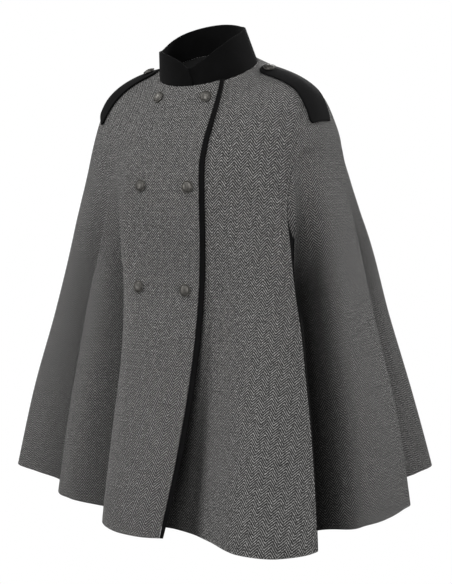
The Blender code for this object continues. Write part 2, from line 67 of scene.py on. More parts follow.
# Front edge of the panel that lies on top, as distance along and cloth angle
FRONT_EDGE = (
    (0.0, 43.0),
    (0.05, 37.0),
    (0.105, 31.0),
    (0.15, 27.0),
    (0.19, 25.5),
    (0.25, 26.5),
    (0.35, 29.0),
    (0.46, 31.0),
    (0.60, 32.0),
    (1.0, 32.0),
)

# Seam lines as distance along and cloth angle, from the front middle to either side
LEFT_FRONT_SEAM = (
    (0.0, 90.0),
    (0.15, 90.0),
    (0.168, 86.0),
    (0.186, 79.5),
    (0.22, 74.5),
    (0.25, 71.6),
    (0.28, 69.6),
    (0.315, 68.0),
    (0.35, 67.0),
    (0.42, 67.5),
    (0.50, 68.2),
    (0.60, 69.0),
    (1.0, 69.0),
)
RIGHT_FRONT_SEAM = (
    (0.0, 90.0),
    (0.05, 88.0),
    (0.105, 81.0),
    (0.15, 74.0),
    (0.168, 65.0),
    (0.186, 56.0),
    (0.203, 49.5),
    (0.22, 47.0),
    (0.25, 46.0),
    (0.29, 47.0),
    (0.34, 50.0),
    (0.385, 54.0),
    (0.44, 58.5),
    (0.49, 62.0),
    (0.57, 64.5),
    (0.65, 66.0),
    (1.0, 69.0),
)
SEAMS_PART = 0.15
LEFT_SIDE_SEAM = (
    (SEAMS_PART, 90.0),
    (0.168, 94.0),
    (0.186, 99.0),
    (0.22, 107.0),
    (0.25, 112.0),
    (0.315, 118.0),
    (1.0, 118.0),
)
RIGHT_SIDE_SEAM = (
    (SEAMS_PART, 74.0),
    (0.168, 81.0),
    (0.186, 90.0),
    (0.22, 103.0),
    (0.25, 110.0),
    (0.315, 118.0),
    (1.0, 118.0),
)

# Crest of the fold in front of the right seam, as distance along and cloth angle
RIGHT_CREST = (
    (0.0, 33.0),
    (0.20, 37.0),
    (0.40, 37.0),
    (0.60, 34.0),
    (1.0, 33.0),
)
SIDE_TOP = 0.153

# Arm slit in each front seam
SLIT_TOP = 0.345
SLIT_BOTTOM = 0.56
SLIT_EASE = 0.07
LEFT_SLIT_WIDTH = 0.010
RIGHT_SLIT_WIDTH = 0.013
LEFT_SLIT_DEPTH = 0.012
SLIT_REACH = 14.0

# Body form of the cloth, one row per ring from the neckline to the hem
RING_COLUMNS = (
    "along", "half_width", "front", "back", "z_front", "z_side", "z_back",
    "square_front", "square_back", "crown",
)
RINGS = (
    (0.00, 0.0775, 0.075, 0.055, -0.030, 0.002, 0.028, 2.0, 2.0, 1.0),
    (0.05, 0.106, 0.088, 0.080, -0.060, -0.003, 0.012, 2.0, 2.0, 1.2),
    (0.11, 0.145, 0.104, 0.108, -0.096, -0.016, -0.018, 2.0, 2.1, 1.5),
    (0.17, 0.179, 0.118, 0.134, -0.135, -0.042, -0.062, 2.0, 2.3, 1.8),
    (0.22, 0.195, 0.127, 0.153, -0.170, -0.084, -0.110, 2.1, 2.5, 2.0),
    (0.30, 0.212, 0.131, 0.183, -0.222, -0.154, -0.178, 2.2, 2.7, 2.0),
    (0.42, 0.238, 0.131, 0.212, -0.298, -0.247, -0.262, 2.3, 2.7, 2.0),
    (0.60, 0.276, 0.149, 0.238, -0.413, -0.385, -0.394, 2.3, 2.5, 2.0),
    (0.80, 0.318, 0.187, 0.266, -0.540, -0.523, -0.524, 2.2, 2.3, 2.0),
    (1.00, 0.348, 0.232, 0.297, -0.666, -0.656, -0.650, 2.1, 2.1, 2.0),
)

# Where the cloth hangs at the hem, one row per crest, hollow or seam.
# Start is the distance along where a fold begins. A curve under 1 makes it deep early.
FOLD_COLUMNS = ("cloth_angle", "hem_angle", "hem_radius", "start", "curve")
FOLDS = (
    (-32.0, -8.0, 0.203, 0.40, 1.10),
    (-14.0, -1.0, 0.200, 0.40, 1.10),
    (4.0, 7.0, 0.198, 0.40, 1.10),
    (18.0, 15.0, 0.202, 0.40, 1.10),
    (30.0, 24.0, 0.220, 0.40, 1.10),
    (39.0, 31.0, 0.254, 0.35, 1.10),
    (47.0, 38.0, 0.311, 0.30, 1.10),
    (55.0, 47.0, 0.341, 0.30, 1.10),
    (62.0, 52.5, 0.344, 0.30, 1.10),
    (69.0, 57.0, 0.339, 0.30, 1.10),
    (72.0, 60.0, 0.292, 0.25, 0.50),
    (76.0, 66.0, 0.274, 0.25, 0.50),
    (82.0, 73.5, 0.296, 0.25, 0.60),
    (90.0, 84.0, 0.316, 0.24, 0.85),
    (98.0, 99.0, 0.322, 0.22, 1.10),
    (104.0, 103.5, 0.311, 0.22, 1.10),
    (110.0, 108.0, 0.289, 0.22, 0.80),
    (118.0, 118.0, 0.288, 0.24, 0.75),
    (127.0, 128.0, 0.341, 0.22, 1.00),
    (136.0, 135.5, 0.384, 0.20, 1.10),
    (144.0, 143.0, 0.372, 0.22, 1.10),
    (154.0, 153.0, 0.315, 0.28, 1.10),
    (167.0, 166.0, 0.350, 0.26, 1.10),
    (181.0, 181.0, 0.300, 0.30, 1.10),
    (195.0, 195.0, 0.348, 0.26, 1.10),
    (208.0, 208.0, 0.308, 0.28, 1.10),
    (222.0, 222.0, 0.366, 0.22, 1.10),
    (233.0, 233.0, 0.330, 0.24, 0.90),
    (242.0, 242.0, 0.292, 0.24, 0.80),
    (253.0, 254.0, 0.322, 0.26, 0.90),
    (263.0, 266.0, 0.330, 0.26, 1.10),
    (272.0, 277.0, 0.358, 0.22, 1.10),
    (277.0, 282.0, 0.350, 0.22, 1.10),
    (282.0, 287.5, 0.300, 0.22, 0.85),
    (286.0, 294.0, 0.252, 0.20, 0.70),
    (289.0, 301.0, 0.232, 0.20, 0.70),
    (291.0, 307.0, 0.244, 0.30, 1.10),
    (300.0, 316.0, 0.229, 0.26, 1.00),
    (309.0, 328.0, 0.195, 0.26, 0.85),
    (317.0, 340.0, 0.172, 0.26, 0.80),
    (322.0, 345.5, 0.190, 0.26, 0.90),
    (327.0, 348.0, 0.221, 0.30, 1.10),
    (340.0, 353.0, 0.240, 0.35, 1.10),
    (356.0, 360.0, 0.249, 0.40, 1.10),
    (374.0, 368.0, 0.251, 0.40, 1.10),
    (392.0, 374.5, 0.247, 0.40, 1.10),
)

# Stand collar, one row per place round the neck
COLLAR_COLUMNS = ("angle", "height", "inset", "lift")
COLLAR = (
    (-24.0, 0.022, 0.0017, 0.0),
    (-10.0, 0.024, 0.0017, 0.0),
    (10.0, 0.027, 0.0017, 0.0),
    (30.0, 0.036, 0.0017, 0.0),
    (50.0, 0.045, 0.0010, 0.0),
    (75.0, 0.051, 0.0, 0.0),
    (95.0, 0.050, 0.0, 0.0),
    (130.0, 0.042, 0.0, 0.0),
    (180.0, 0.0405, 0.0, 0.0),
    (240.0, 0.039, 0.0, 0.0),
    (280.0, 0.035, 0.0, 0.0),
    (305.0, 0.040, 0.0, 0.6),
    (325.0, 0.0445, 0.0, 1.0),
    (342.0, 0.043, 0.0, 1.0),
    (356.0, 0.038, 0.0, 1.0),
    (365.0, 0.030, 0.0, 1.0),
    (370.0, 0.020, 0.0, 1.0),
    (372.5, 0.004, 0.0, 1.0),
)
COLLAR_FULL_HEIGHT = 0.045
COLLAR_LEAN_IN = 0.0094
COLLAR_FORWARD = 0.018
COLLAR_FOOT_SHARE = 0.16
COLLAR_STATIONS = 260
COLLAR_ROWS = 26

# Strip on the front edge that shows, as distance along and width
STRIP_WIDTHS = (
    (0.0, 0.0065),
    (0.15, 0.0085),
    (0.75, 0.0085),
    (1.0, 0.0055),
)
STRIP_LOOK_BACK = 1.0
STRIP_COLUMNS = 14

# Shoulder strap, one row per place from the neck end to the arm end
STRAP_COLUMNS = ("along", "left_angle", "right_angle", "half_width")
STRAP = (
    (0.028, 90.0, 90.0, 0.0050),
    (0.031, 90.0, 90.0, 0.0120),
    (0.040, 89.5, 89.0, 0.0165),
    (0.060, 89.0, 87.0, 0.0190),
    (0.090, 89.0, 84.0, 0.0212),
    (0.140, 89.0, 79.0, 0.0245),
    (0.180, 88.5, 75.5, 0.0270),
    (0.208, 88.5, 74.0, 0.0270),
    (0.216, 88.5, 74.0, 0.0240),
)
STRAP_REACH = {"left": 1.0, "right": 0.86}
STRAP_CLEARANCE = 0.0008
STRAP_THICKNESS = 0.003
STRAP_EVEN_SHARE = 0.4
STRAP_ROWS = 110
STRAP_POINTS_ACROSS = 44
STRAP_BUTTON_ALONG = 0.053
STRAP_BUTTON_ANGLE = 87.0

# Buttons
BUTTON_RADIUS = 0.0093
BUTTON_CLEARANCE = 0.0006
BUTTON_SEGMENTS = 64
BUTTON_COLUMN_X = 0.041
BUTTON_SEARCH = (-60.0, 50.0)
BUTTON_ROWS_ALONG = (0.036, 0.232, 0.464)

# Fineness of the panel shells
PANEL_COLUMNS = {
    "front_right": 110,
    "front_left": 110,
    "side_right": 90,
    "side_left": 76,
    "back_right": 100,
    "back_left": 100,
}
PANEL_ROWS = 190
EDGE_STEPS = (0.0, 0.0003, 0.0007, 0.0013, 0.0025, 0.0040, 0.0055, 0.0070)
FREE_EDGE_ROUND = 0.0012
SEAM_EDGE_ROUND = 0.0008
ROUND_SHARE = 0.92

# Creases of the cloth, one row each. One that reaches the hem fades at its upper end alone.
CREASE_COLUMNS = ("from_angle", "from_along", "to_angle", "to_along", "width", "depth")
CREASES = (
    (352.0, 0.60, 350.0, 1.00, 0.020, -0.0020),
    (374.0, 0.50, 376.0, 1.00, 0.018, 0.0014),
    (338.0, 0.20, 334.0, 0.50, 0.022, -0.0012),
    (40.0, 0.25, 43.0, 0.62, 0.020, -0.0014),
    (56.0, 0.32, 58.0, 0.80, 0.016, 0.0012),
    (327.0, 0.16, 327.0, 1.00, 0.014, 0.0045),
    (289.0, 0.26, 289.0, 1.00, 0.014, -0.0040),
    (98.0, 0.16, 98.0, 1.00, 0.013, 0.0045),
    (75.0, 0.30, 75.0, 1.00, 0.012, -0.0050),
    (82.0, 0.28, 82.5, 1.00, 0.016, 0.0125),
    (127.0, 0.30, 130.0, 0.90, 0.018, -0.0016),
    (158.0, 0.20, 152.0, 0.70, 0.020, 0.0016),
    (186.0, 0.45, 184.0, 1.00, 0.018, 0.0018),
    (214.0, 0.25, 219.0, 0.80, 0.018, -0.0016),
    (246.0, 0.30, 250.0, 1.00, 0.016, 0.0018),
)
CREASE_POINTS = 14
CREASE_FADE = 0.7

# Share by which the cloth is darkened, by place among the folds: painted shade that stands
# in for shadow. A value below nothing lightens a crest as a painted highlight.
# It was set for the photograph's view.
PAINTED_SHADING = (
    (45.0, 0.93),
    (76.0, 0.93),
    (79.5, 0.80),
    (83.0, 0.35),
    (87.0, 0.03),
    (93.0, -0.05),
    (98.0, -0.12),
    (99.2, 0.60),
    (110.0, 0.60),
    (118.0, 0.35),
    (124.0, 0.10),
    (136.0, -0.10),
    (144.0, 0.00),
    (154.0, 0.25),
    (167.0, -0.05),
    (181.0, 0.15),
    (195.0, -0.05),
    (208.0, 0.25),
    (222.0, -0.08),
    (242.0, 0.30),
    (263.0, 0.00),
    (277.0, -0.08),
    (282.0, 0.12),
    (286.0, 0.40),
    (290.6, 0.60),
    (291.2, -0.05),
    (296.0, -0.02),
    (300.0, 0.12),
    (306.0, 0.35),
    (312.0, 0.50),
    (324.0, 0.60),
    (325.5, 0.10),
    (327.0, -0.20),
    (333.0, -0.12),
    (342.0, 0.00),
)
# Distances along where the painted fold shade and highlight begin and are full
PAINTED_SHADING_FROM = 0.26
PAINTED_SHADING_FULL = 0.52
# Painted shadow on the left front beside the front edge that laps over it: strength, spread in
# cloth angle, and distances along where it begins and is full
EDGE_PAINTED_SHADOW = 0.65
EDGE_PAINTED_SHADOW_SPREAD = 6.0
EDGE_PAINTED_SHADOW_FROM = 0.50
EDGE_PAINTED_SHADOW_FULL = 0.85

# Where the grain runs straight, as share of a panel's width, and the turned up hem
GRAIN_SHARE = {
    "front_right": 0.80,
    "front_left": 0.45,
    "side_right": 0.5,
    "side_left": 0.5,
    "back_right": 0.1,
    "back_left": 0.9,
}
GRAIN_FROM = 0.35
HEM_TURN_UP = 0.04

# Button profile from the back edge to the dome, as share of the radius, height and age
BUTTON_PROFILE = (
    (0.62, 0.0000, 0.9),
    (0.88, 0.0002, 0.8),
    (0.96, 0.0006, 0.5),
    (1.00, 0.0013, 0.2),
    (0.985, 0.0019, 0.0),
    (0.94, 0.0022, 0.0),
    (0.89, 0.0021, 0.3),
    (0.86, 0.0018, 1.0),
    (0.82, 0.0019, 0.8),
    (0.78, 0.0024, 0.3),
    (0.70, 0.0030, 0.1),
    (0.58, 0.0034, 0.05),
    (0.44, 0.0037, 0.0),
    (0.28, 0.0039, 0.0),
    (0.12, 0.0040, 0.0),
    (0.03, 0.0040, 0.0),
)

# Rows of stitches: distance from the edge, length, gap and thickness. The rings of one
# stitch are shares of its length, its thickness and its height above the cloth.
HEM_STITCH_INSET = 0.0095
SEAM_STITCH_INSET = 0.0055
SEAM_STITCHED = {"front_right": True, "front_left": False}
STITCH_LENGTH = 0.0030
STITCH_GAP = 0.0013
STITCH_RADIUS = 0.00026
STITCH_SIDES = 6
STITCH_RINGS = (
    (0.0, 0.35, -1.2),
    (0.12, 0.9, -0.2),
    (0.5, 1.0, 0.35),
    (0.88, 0.9, -0.2),
    (1.0, 0.35, -1.2),
)

# Weave: width of one herringbone column, height of one stripe, slope of the stripes
WEAVE_COLUMN = 0.0092
WEAVE_PITCH = 0.0043
WEAVE_SLOPE = math.tan(math.radians(50.0))
YARN_DARK = (0.006, 0.006, 0.0065, 1.0)
YARN_LIGHT = (0.68, 0.67, 0.655, 1.0)

# Unevenness of the weave: noise in cycles per metre, and how far it moves the yarn in metres
SWAY_NOISE = 90.0
SWAY = 0.0022
JITTER_NOISE = 420.0
JITTER = 0.0020
YARN_NOISE = 620.0
YARN_LOOSE = 3.2
PATCH_NOISE = 160.0
SPECK_NOISE = 360.0
FLUFF_NOISE = 600.0
NAP_HEIGHT = 0.0008

# Colours of the other materials, dark and light
MELTON_COLOURS = ((0.0009, 0.0009, 0.0010, 1.0), (0.0038, 0.0038, 0.0042, 1.0))
LINING_COLOURS = ((0.006, 0.006, 0.007, 1.0), (0.018, 0.018, 0.020, 1.0))
THREAD_COLOURS = ((0.010, 0.010, 0.010, 1.0), (0.045, 0.045, 0.045, 1.0))
METAL_COLOURS = ((0.085, 0.081, 0.075, 1.0), (0.25, 0.24, 0.22, 1.0))
METAL_GROOVE = (0.012, 0.011, 0.010, 1.0)

# Noise of the other materials, in cycles per metre
MELTON_FIBRES = 1500.0
MELTON_CLOUDS = 45.0
LINING_THREADS = 900.0
LINING_STRETCH = (1.0, 1.0, 4.0)
THREAD_TWIST = 2500.0
METAL_SPOTS = 900.0
METAL_CLOUDS = 260.0

# Photograph's view: where the camera stands and what it looks at
CAMERA_TURN = 31.7
CAMERA_DISTANCE = 1.84
CAMERA_HEIGHT = -0.10
AIM_HEIGHT = -0.346
AIM_SHIFT = 0.0244
FOCAL_PIXELS = 1177.0
FRAME_HEIGHT_PIXELS = 584.0
SENSOR = 36.0

# Softboxes: name, turn from the front to the wearer's left, rise, size and power
SOFTBOXES = (
    ("front_high", 3.0, 45.0, 0.9, 15.0),
    ("front_low", 20.0, 10.0, 0.9, 8.6),
    ("left_side", 75.0, 10.0, 0.9, 13.8),
    ("left_rim", 140.0, 45.0, 0.9, 20.5),
    ("right_high", -75.0, 45.0, 0.9, 12.4),
    ("right_low", -48.0, 10.0, 0.9, 11.0),
    ("back", -165.0, 35.0, 0.9, 18.0),
)
LIGHT_DISTANCE = 2.4
LIGHT_AIM = (0.0, 0.0, -0.33)

# Floor and surround
FLOOR_HEIGHT = -1.40
FLOOR_SIDES = 96
FLOOR_COLOUR = (0.86, 0.86, 0.86, 1.0)
FLOOR_ROUGHNESS = 0.8
FLOOR_RADIUS = 1.25
WORLD_LIGHT = 0.03


def smooth_curve(places, values, wanted):
    """Read a table column between its rows, without overshoot at crests."""
    places, values, wanted = (np.asarray(item, float) for item in (places, values, wanted))
    steps = np.diff(places)
    slopes = np.diff(values) / steps
    tangents = np.zeros(len(places))
    tangents[0] = slopes[0]
    tangents[-1] = slopes[-1]
    for row in range(1, len(places) - 1):
        before = slopes[row - 1]
        after = slopes[row]
        if before * after > 0.0:
            weight_before = 2.0 * steps[row] + steps[row - 1]
            weight_after = steps[row] + 2.0 * steps[row - 1]
            total = weight_before + weight_after
            tangents[row] = total / (weight_before / before + weight_after / after)
    row = np.clip(np.searchsorted(places, wanted, side="right") - 1, 0, len(places) - 2)
    share = np.clip((wanted - places[row]) / steps[row], 0.0, 1.0)
    cubed = share ** 3
    squared = share ** 2
    return (
        (2.0 * cubed - 3.0 * squared + 1.0) * values[row]
        + (cubed - 2.0 * squared + share) * steps[row] * tangents[row]
        + (3.0 * squared - 2.0 * cubed) * values[row + 1]
        + (cubed - squared) * steps[row] * tangents[row + 1]
    )


def table_column(columns, rows, name, wanted):
    """Read one named column of a table at the wanted places of its first column."""
    places = [row[0] for row in rows]
    values = [row[columns.index(name)] for row in rows]
    return smooth_curve(places, values, wanted)


def ring_value(name, along):
    """One column of the ring table at a distance along the cloth."""
    return table_column(RING_COLUMNS, RINGS, name, along)


def fold_place(cloth_angle, along):
    """Place in the fold table, which follows the right front seam and the crest by it."""
    seam = FULL_TURN - line_value(RIGHT_FRONT_SEAM, along)
    crest = FULL_TURN - line_value(RIGHT_CREST, along)
    lines = (np.full_like(along, SLIDE_FROM), seam, crest, np.full_like(along, SLIDE_TO))
    places = (SLIDE_FROM, SEAM_FOLD, CREST_FOLD, SLIDE_TO)
    place = np.array(cloth_angle, float)
    for first in range(len(lines) - 1):
        low, high = lines[first], lines[first + 1]
        share = (cloth_angle - low) / (high - low)
        within = (share >= 0.0) & (share < 1.0)
        slid = places[first] + (places[first + 1] - places[first]) * share
        place = np.where(within, slid, place)
    return place


def smooth_step(low, high, value):
    """Go from 0 at low to 1 at high with level ends."""
    share = np.clip((value - low) / (high - low), 0.0, 1.0)
    return share * share * (3.0 - 2.0 * share)


def line_value(table, along):
    """Read an edge or seam table at a distance along."""
    return smooth_curve([row[0] for row in table], [row[1] for row in table], along)


def unit(vectors):
    """Vectors of length one."""
    return vectors / np.linalg.norm(vectors, axis=-1, keepdims=True)


def ring_point(angle, along):
    """Place on the body form, and its distance from the upright axis."""
    turn = np.radians(angle)
    sine = np.sin(turn)
    cosine = np.cos(turn)
    in_front = cosine >= 0.0
    half_width = ring_value("half_width", along)
    depth = np.where(in_front, ring_value("front", along), ring_value("back", along))
    square = np.where(
        in_front, ring_value("square_front", along), ring_value("square_back", along)
    )
    crown = ring_value("crown", along)
    reach = np.abs(sine / half_width) ** square + np.abs(cosine / depth) ** square
    radius = reach ** (-1.0 / square)
    x = radius * sine
    y = -radius * cosine
    z_side = ring_value("z_side", along)
    z_end = np.where(in_front, ring_value("z_front", along), ring_value("z_back", along))
    z = z_side + (z_end - z_side) * np.clip(np.abs(y) / depth, 0.0, 1.0) ** crown
    return np.stack([x, y, z], axis=-1), radius


def folded_point(cloth_angle, along):
    """Place on the cloth with its folds, before lift and slit."""
    place = fold_place(cloth_angle, along)
    values = [table_column(FOLD_COLUMNS, FOLDS, name, place) for name in FOLD_COLUMNS[1:]]
    hem_angle, hem_radius, start, curve = values
    drift = np.clip((along - DRIFT_START) / (1.0 - DRIFT_START), 0.0, 1.0) ** DRIFT_CURVE
    angle = cloth_angle + (hem_angle - place) * drift
    plain, _ = ring_point(angle, along)
    _, plain_hem = ring_point(hem_angle, np.ones_like(along))
    growth = np.clip((along - start) / (1.0 - start), 0.0, 1.0) ** curve
    moved = (hem_radius - plain_hem) * growth
    turn = np.radians(angle)
    outward = np.stack([np.sin(turn), -np.cos(turn), np.zeros_like(turn)], axis=-1)
    return plain + moved[..., None] * outward


def surface_normal(cloth_angle, along):
    """Outward direction of the folded cloth."""
    angle_after = np.minimum(cloth_angle + ANGLE_STEP, FOLDS[-1][0] + SPARE_ANGLE)
    angle_before = np.maximum(cloth_angle - ANGLE_STEP, FOLDS[0][0] - SPARE_ANGLE)
    along_after = np.minimum(along + ALONG_STEP, 1.0)
    along_before = np.maximum(along - ALONG_STEP, 0.0)
    across = folded_point(angle_after, along) - folded_point(angle_before, along)
    down = folded_point(cloth_angle, along_after) - folded_point(cloth_angle, along_before)
    return unit(np.cross(down, across))


def slit_open(along):
    """How far the arm slit stands open, 0 closed and 1 open."""
    opening = smooth_step(SLIT_TOP, SLIT_TOP + SLIT_EASE, along)
    closing = 1.0 - smooth_step(SLIT_BOTTOM - SLIT_EASE, SLIT_BOTTOM, along)
    return opening * closing


def edge_angle(along):
    """Cloth angle of the front edge that shows, from the front middle."""
    return line_value(FRONT_EDGE, along)


def panel_edges(panel, along):
    """Cloth angles of the two edges of a panel, at each distance along."""
    left_front = line_value(LEFT_FRONT_SEAM, along)
    apart = along > SEAMS_PART
    left_side = np.where(apart, line_value(LEFT_SIDE_SEAM, along), left_front)
    back_middle = np.full_like(along, FULL_TURN / 2.0)
    right_front = FULL_TURN - line_value(RIGHT_FRONT_SEAM, along)
    right_side = np.where(apart, FULL_TURN - line_value(RIGHT_SIDE_SEAM, along), right_front)
    edges = {
        "front_left": (-edge_angle(along), left_front),
        "side_left": (left_front, left_side),
        "back_left": (left_side, back_middle),
        "back_right": (back_middle, right_side),
        "side_right": (right_side, right_front),
        "front_right": (right_front, FULL_TURN + edge_angle(along)),
    }
    return edges[panel]


def cloth_point(panel, cloth_angle, along):
    """Outer face of a panel, with the overlap lift and the arm slit."""
    point = folded_point(cloth_angle, along)
    normal = surface_normal(cloth_angle, along)
    if panel == "front_right":
        covered = FULL_TURN - edge_angle(along) - LIFT_AHEAD
        lift = OVERLAP_LIFT * smooth_step(covered - LIFT_SPREAD, covered, cloth_angle)
        point = point + normal * lift[..., None]
    if panel == "side_left":
        from_slit = cloth_angle - line_value(LEFT_FRONT_SEAM, along)
        near = np.clip(1.0 - from_slit / SLIT_REACH, 0.0, 1.0) ** 2
        point = point - normal * (LEFT_SLIT_DEPTH * near * slit_open(along))[..., None]
    return point


def ring_surface(angle, along):
    """Points and outward directions on the body form above the folds."""
    point, _ = ring_point(angle, along)
    ahead, _ = ring_point(angle, along + ALONG_STEP)
    after, _ = ring_point(angle + ANGLE_STEP, along)
    before, _ = ring_point(angle - ANGLE_STEP, along)
    return point, unit(np.cross(ahead - point, after - before))


def painted_shading_share(panel, angles, along):
    """Share of painted shade at each point of a panel, below nothing for a painted highlight."""
    # Left front: painted shadow beside the lapped front edge, stronger towards the hem.
    if panel == "front_left":
        from_edge = angles - edge_angle(along)
        near = 1.0 - smooth_step(0.0, EDGE_PAINTED_SHADOW_SPREAD, from_edge)
        return EDGE_PAINTED_SHADOW * near * smooth_step(EDGE_PAINTED_SHADOW_FROM, EDGE_PAINTED_SHADOW_FULL, along)
    # Other panels: painted shade in the fold hollows and painted highlight on crests, from the
    # table.
    table = np.array(PAINTED_SHADING)
    deep = np.interp(fold_place(angles, along), table[:, 0], table[:, 1])
    return deep * smooth_step(PAINTED_SHADING_FROM, PAINTED_SHADING_FULL, along)


def crease_height(points):
    """How far the creases move the cloth outwards, at each point of the surface."""
    flat = points.reshape(-1, 3)
    height = np.zeros(len(flat))
    shares = np.linspace(0.0, 1.0, CREASE_POINTS)
    for row in CREASES:
        crease = dict(zip(CREASE_COLUMNS, row))
        angles = crease["from_angle"] + (crease["to_angle"] - crease["from_angle"]) * shares
        places = crease["from_along"] + (crease["to_along"] - crease["from_along"]) * shares
        line = folded_point(angles, places)
        nearest = np.full(len(flat), np.inf)
        where = np.zeros(len(flat))
        for number in range(CREASE_POINTS - 1):
            start = line[number]
            leg = line[number + 1] - start
            share = np.clip((flat - start) @ leg / (leg @ leg), 0.0, 1.0)
            apart = np.linalg.norm(flat - start - share[:, None] * leg, axis=1)
            closer = apart < nearest
            nearest = np.where(closer, apart, nearest)
            where = np.where(closer, (number + share) / (CREASE_POINTS - 1), where)
        reach = 0.5 if crease["to_along"] >= 1.0 else 1.0
        fade = np.sin(np.pi * reach * np.clip(where, 0.0, 1.0)) ** CREASE_FADE
        height += crease["depth"] * fade * np.exp(-((nearest / crease["width"]) ** 2))
    return height.reshape(points.shape[:-1])


def edge_drop(distance, radius):
    """How far a rounded edge falls away from the face at a distance from the edge."""
    inside = np.clip(radius - distance, 0.0, radius)
    return ROUND_SHARE * (radius - np.sqrt(radius ** 2 - inside ** 2))


def fallen(*edges):
    """Largest drop of several edges, each given as distance and radius."""
    return np.maximum.reduce([edge_drop(distance, radius) for distance, radius in edges])


def spread_places(low, high, count, low_step, high_step):
    """Even places from low to high, with close ones by both ends."""
    start = [low + step * low_step for step in EDGE_STEPS]
    finish = [high - step * high_step for step in reversed(EDGE_STEPS)]
    middle = np.linspace(start[-1], finish[0], count - 2 * len(EDGE_STEPS) + 2)
    return np.concatenate([start, middle[1:-1], finish])


def angle_for_width(cloth_angle, along, width):
    """Cloth angle that spans a width on the cloth at a place."""
    after = folded_point(cloth_angle + ANGLE_STEP, along)
    before = folded_point(cloth_angle - ANGLE_STEP, along)
    return width * 2.0 * ANGLE_STEP / np.linalg.norm(after - before, axis=-1)


def seam_set_back(panel, edge, places):
    """Width along a row that keeps an edge half the seam gap off the seam line."""
    before = np.maximum(places - ALONG_STEP, 0.0)
    after = np.minimum(places + ALONG_STEP, 1.0)
    down = folded_point(panel_edges(panel, after)[edge], after)
    down = down - folded_point(panel_edges(panel, before)[edge], before)
    angle = panel_edges(panel, places)[edge]
    across = folded_point(angle + ANGLE_STEP, places) - folded_point(angle - ANGLE_STEP, places)
    lengths = np.linalg.norm(down, axis=-1) * np.linalg.norm(across, axis=-1)
    sine = np.linalg.norm(np.cross(down, across), axis=-1) / lengths
    return SEAM_GAP / 2.0 / sine


def panel_grid(panel):
    """Cloth angles and distances along for the points of a panel."""
    top = SIDE_TOP if panel.startswith("side") else 0.0
    per_metre = 1.0 / CLOTH_LENGTH
    places = spread_places(top, 1.0, PANEL_ROWS, per_metre, per_metre)
    first, last = panel_edges(panel, places)
    first_width = seam_set_back(panel, 0, places)
    last_width = seam_set_back(panel, 1, places)
    if panel == "side_left":
        first_width = first_width + LEFT_SLIT_WIDTH * slit_open(places)
    if panel == "side_right":
        last_width = last_width + RIGHT_SLIT_WIDTH * slit_open(places)
    first = first + angle_for_width(first + INSIDE_EDGE, places, first_width)
    last = last - angle_for_width(last - INSIDE_EDGE, places, last_width)
    columns = PANEL_COLUMNS[panel]
    inner_columns = columns - 2 * len(EDGE_STEPS) + 2
    room = (last - first) / 3.0
    steps = np.array(EDGE_STEPS)
    first_turns = angle_for_width(first + INSIDE_EDGE, places, 1.0)[:, None] * steps
    last_turns = angle_for_width(last - INSIDE_EDGE, places, 1.0)[:, None] * steps
    first_fit = np.minimum(1.0, room / first_turns[:, -1])[:, None]
    last_fit = np.minimum(1.0, room / last_turns[:, -1])[:, None]
    left = first[:, None] + first_turns * first_fit
    right = (last[:, None] - last_turns * last_fit)[:, ::-1]
    shares = np.linspace(0.0, 1.0, inner_columns)[1:-1]
    middle = left[:, -1:] + (right[:, :1] - left[:, -1:]) * shares[None, :]
    angles = np.concatenate([left, middle, right], axis=1)
    along = np.repeat(places[:, None], angles.shape[1], axis=1)
    return angles, along


def lengths_along(points, axis):
    """Distance of each point from the first one, along one axis of a grid."""
    steps = np.linalg.norm(np.diff(points, axis=axis), axis=-1)
    total = np.cumsum(steps, axis=axis)
    width = [(0, 0), (0, 0)]
    width[axis] = (1, 0)
    return np.pad(total, width)


def from_nearer_end(points, axis):
    """Distance of each point from the nearer end, along one axis of a grid."""
    first = lengths_along(points, axis)
    whole = first.take([-1], axis=axis)
    return np.minimum(first, whole - first)


def add_object(name, data):
    """Put an object in the scene."""
    piece = bpy.data.objects.new(name, data)
    bpy.context.scene.collection.objects.link(piece)
    return piece


def link(name, mesh, node):
    """Put a mesh in the scene as a piece that rides on the body and replaces a node."""
    piece = add_object(name, mesh)
    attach(piece, "root")
    if node:
        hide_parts(node)
    return piece


def smooth_mesh(name, vertices, faces, materials):
    """Mesh shaded smooth."""
    mesh = bpy.data.meshes.new(name)
    mesh.from_pydata(np.asarray(vertices).tolist(), [], faces)
    mesh.update()
    for material in materials:
        mesh.materials.append(material)
    mesh.polygons.foreach_set("use_smooth", [True] * len(faces))
    return mesh


def ring_faces(first, rings, sides):
    """Faces of a stack of rings with both ends filled, its points numbered from first."""
    faces = []
    for ring in range(rings - 1):
        low = first + ring * sides
        high = low + sides
        for turn in range(sides):
            after = (turn + 1) % sides
            faces.append((low + turn, low + after, high + after, high + turn))
    last = first + (rings - 1) * sides
    faces.append(tuple(first + turn for turn in reversed(range(sides))))
    faces.append(tuple(last + turn for turn in range(sides)))
    return faces


def grid_faces(rows, columns):
    """Faces of one grid of points, row by row."""
    faces = []
    for row in range(rows - 1):
        for column in range(columns - 1):
            corner = row * columns + column
            faces.append((corner, corner + columns, corner + columns + 1, corner + 1))
    return faces


def rim_faces(rows, columns):
    """Faces that close the rim between an outer grid and the inner one after it."""
    place = np.arange(rows * columns).reshape(rows, columns)
    outline = np.concatenate([place[0, :], place[1:, -1], place[-1, -2::-1], place[-2:0:-1, 0]])
    faces = []
    for start, end in zip(outline.tolist(), np.roll(outline, -1).tolist()):
        faces.append((start, end, end + rows * columns, start + rows * columns))
    return faces


